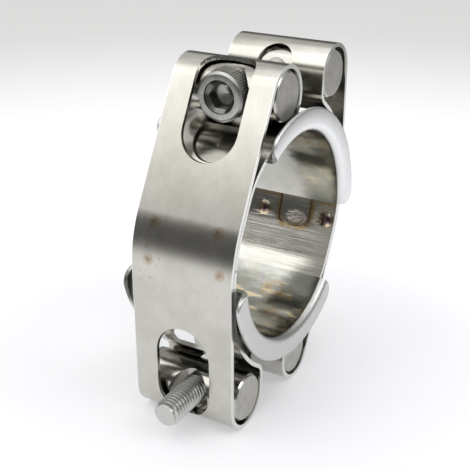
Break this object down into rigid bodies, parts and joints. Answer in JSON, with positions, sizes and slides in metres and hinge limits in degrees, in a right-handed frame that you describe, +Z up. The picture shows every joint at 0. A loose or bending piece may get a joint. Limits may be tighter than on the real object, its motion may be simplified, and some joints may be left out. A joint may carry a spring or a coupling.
{
  "type": "double-bolt hose clamp",
  "caption": "Heavy-duty hose clamp: half bands with looped ends, flanged bridges lining the bore, and socket-head bolts that draw on round pins.",
  "frame": {"origin": "centre of the bore, half way along the band's width", "axes": "+Y along the bore, away from the picture's near face; X along the bolts; +Z up, toward the bolt whose head is on the left"},
  "size_m": [0.0674, 0.0284, 0.0768],
  "materials": {
    "band_steel": "satin stainless strip, warm light grey, brushed along the strip",
    "bridge_steel": "satin stainless sheet with whitish tumbled flanges",
    "pin_steel": "turned stainless bar with dull sawn ends",
    "bolt_steel": "plain stainless fastener"
  },
  "bodies": {
    "left_half": {"left_band": "band_steel", "upper_bridge": "bridge_steel"},
    "upper_link": {"upper_head_pin": "pin_steel"},
    "upper_bolt": {"upper_bolt": "bolt_steel"},
    "upper_nut": {"upper_thread_pin": "pin_steel"},
    "right_half": {"right_band": "band_steel", "lower_bridge": "bridge_steel"},
    "lower_link": {"lower_head_pin": "pin_steel"},
    "lower_bolt": {"lower_bolt": "bolt_steel"},
    "lower_nut": {"lower_thread_pin": "pin_steel"}
  },
  "joints": [
    {"name": "upper_swing", "type": "hinge", "parent": "left_half", "child": "upper_link", "pos_m": [-0.00364, 0, 0.03167], "axis": [0, 1, 0], "range_deg": [-1.5, 8]},
    {"name": "upper_turn", "type": "hinge", "parent": "upper_link", "child": "upper_bolt", "pos_m": [-0.00364, 0, 0.03167], "axis": [1, 0, 0], "range_deg": [-1441, 0]},
    {"name": "upper_draw", "type": "slide", "parent": "upper_link", "child": "upper_nut", "axis": [1, 0, 0], "range_m": [0, 0.004]},
    {"name": "right_swing", "type": "hinge", "parent": "upper_nut", "child": "right_half", "pos_m": [0.01909, 0, 0.03167], "axis": [0, 1, 0], "range_deg": [-8.01, 1.51]},
    {"name": "lower_swing", "type": "hinge", "parent": "right_half", "child": "lower_link", "pos_m": [0.00364, 0, -0.03167], "axis": [0, 1, 0], "range_deg": [-1.51, 8.01]},
    {"name": "lower_turn", "type": "hinge", "parent": "lower_link", "child": "lower_bolt", "pos_m": [0.00364, 0, -0.03167], "axis": [-1, 0, 0], "range_deg": [-1441, 0]},
    {"name": "lower_draw", "type": "slide", "parent": "lower_link", "child": "lower_nut", "axis": [-1, 0, 0], "range_m": [0, 0.00401]}
  ],
  "couplings": [
    {"joint": "upper_turn", "follows": "upper_draw", "rad_per_m": -6283.2},
    {"joint": "lower_draw", "follows": "upper_draw", "ratio": 1},
    {"joint": "lower_turn", "follows": "upper_draw", "rad_per_m": -6283.2},
    {"joint": "right_swing", "follows": "upper_swing", "ratio": -1},
    {"joint": "lower_swing", "follows": "upper_swing", "ratio": 1}
  ]
}
